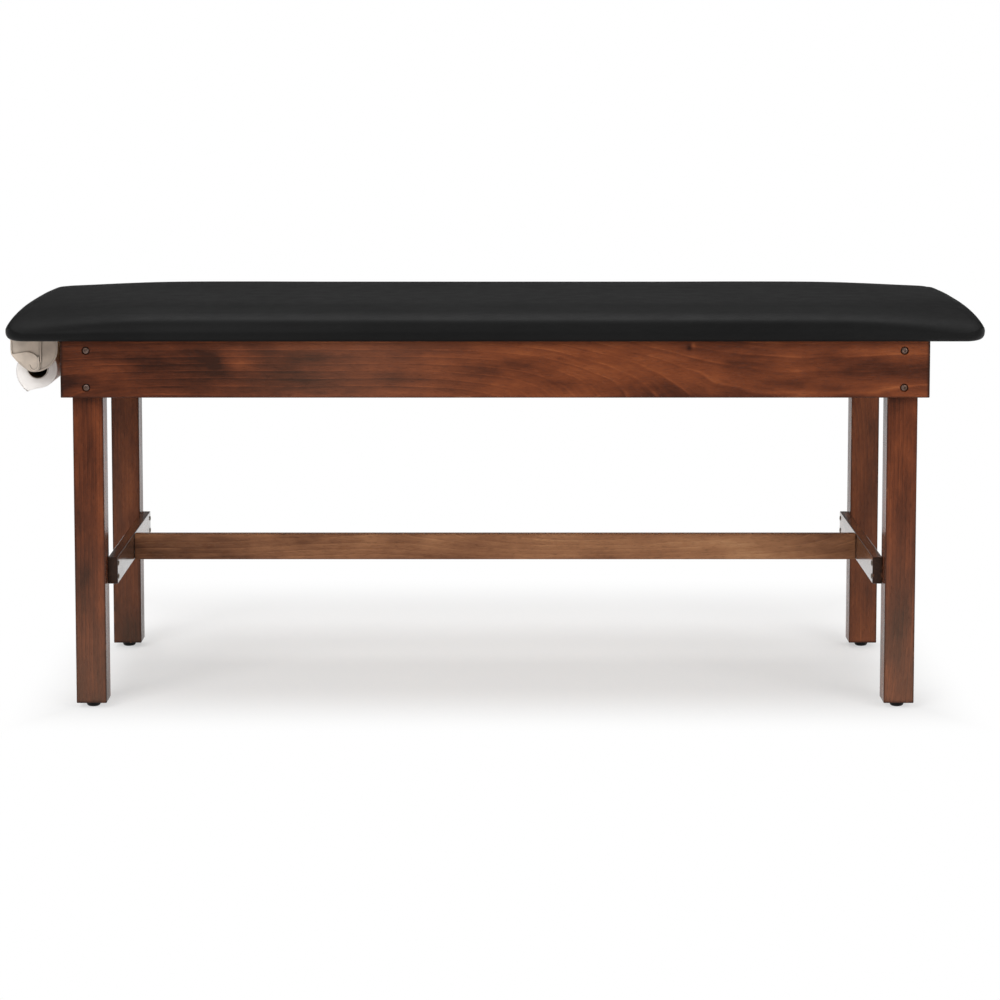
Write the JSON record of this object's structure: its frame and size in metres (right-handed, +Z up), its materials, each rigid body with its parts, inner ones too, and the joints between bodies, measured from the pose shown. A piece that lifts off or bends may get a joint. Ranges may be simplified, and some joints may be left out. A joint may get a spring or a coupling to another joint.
{
  "type": "examination table",
  "caption": "Padded examination table on a bolted hardwood frame with an H-shaped brace, and a lift-out roll of examination paper on a rod under the head end.",
  "frame": {"origin": "on the floor, under the middle of the table's box", "axes": "+X along the table to the foot end, so the paper roll is at -X; the pictured front faces -Y; +Z up"},
  "size_m": [1.8288, 0.6858, 0.7619],
  "materials": {
    "black_vinyl": "satin, fine leather grain",
    "foam": "open-cell, matte",
    "plywood": "raw, sanded",
    "stained_hardwood": "walnut stain under satin lacquer",
    "black_plastic": "moulded, satin",
    "zinc_steel": "zinc plated",
    "beige_plastic": "moulded, satin",
    "pale_dowel": "raw, sanded",
    "cardboard": "spiral-wound board, matte",
    "white_paper": "smooth, matte"
  },
  "bodies": {
    "frame": {"vinyl_cover": "black_vinyl", "foam_pad": "foam", "top_board": "plywood", "front_apron": "stained_hardwood", "rear_apron": "stained_hardwood", "head_end_rail": "stained_hardwood", "foot_end_rail": "stained_hardwood", "front_cleat": "stained_hardwood", "rear_cleat": "stained_hardwood", "front_head_leg": "stained_hardwood", "front_foot_leg": "stained_hardwood", "rear_head_leg": "stained_hardwood", "rear_foot_leg": "stained_hardwood", "head_cross_stretcher": "stained_hardwood", "foot_cross_stretcher": "stained_hardwood", "long_stretcher": "stained_hardwood", "front_head_glide": "black_plastic", "front_foot_glide": "black_plastic", "rear_head_glide": "black_plastic", "rear_foot_glide": "black_plastic", "front_head_upper_bolt": "zinc_steel", "front_head_lower_bolt": "zinc_steel", "front_foot_upper_bolt": "zinc_steel", "front_foot_lower_bolt": "zinc_steel", "rear_head_upper_bolt": "zinc_steel", "rear_head_lower_bolt": "zinc_steel", "rear_foot_upper_bolt": "zinc_steel", "rear_foot_lower_bolt": "zinc_steel", "front_head_upper_nut": "zinc_steel", "front_head_lower_nut": "zinc_steel", "front_foot_upper_nut": "zinc_steel", "front_foot_lower_nut": "zinc_steel", "rear_head_upper_nut": "zinc_steel", "rear_head_lower_nut": "zinc_steel", "rear_foot_upper_nut": "zinc_steel", "rear_foot_lower_nut": "zinc_steel", "front_head_upper_brace_screw": "zinc_steel", "front_head_lower_brace_screw": "zinc_steel", "front_foot_upper_brace_screw": "zinc_steel", "front_foot_lower_brace_screw": "zinc_steel", "rear_head_upper_brace_screw": "zinc_steel", "rear_head_lower_brace_screw": "zinc_steel", "rear_foot_upper_brace_screw": "zinc_steel", "rear_foot_lower_brace_screw": "zinc_steel", "head_brace_bolt": "zinc_steel", "foot_brace_bolt": "zinc_steel", "front_head_top_screw": "zinc_steel", "front_foot_top_screw": "zinc_steel", "rear_head_top_screw": "zinc_steel", "rear_foot_top_screw": "zinc_steel", "front_roll_bracket": "beige_plastic", "rear_roll_bracket": "beige_plastic", "front_outboard_bracket_screw": "zinc_steel", "front_inboard_bracket_screw": "zinc_steel", "rear_outboard_bracket_screw": "zinc_steel", "rear_inboard_bracket_screw": "zinc_steel"},
    "rod": {"roll_rod": "pale_dowel"},
    "roll": {"paper_core": "cardboard", "paper_roll": "white_paper", "paper_tail": "white_paper"}
  },
  "joints": [
    {"name": "roll_slide_out", "type": "slide", "parent": "frame", "child": "rod", "axis": [-0.9763, 0, 0.2164], "range_m": [0, 0.12]},
    {"name": "paper_roll_spin", "type": "hinge", "parent": "rod", "child": "roll", "pos_m": [-0.8673, 0, 0.6396], "axis": [0, 1, 0], "continuous": true}
  ]
}
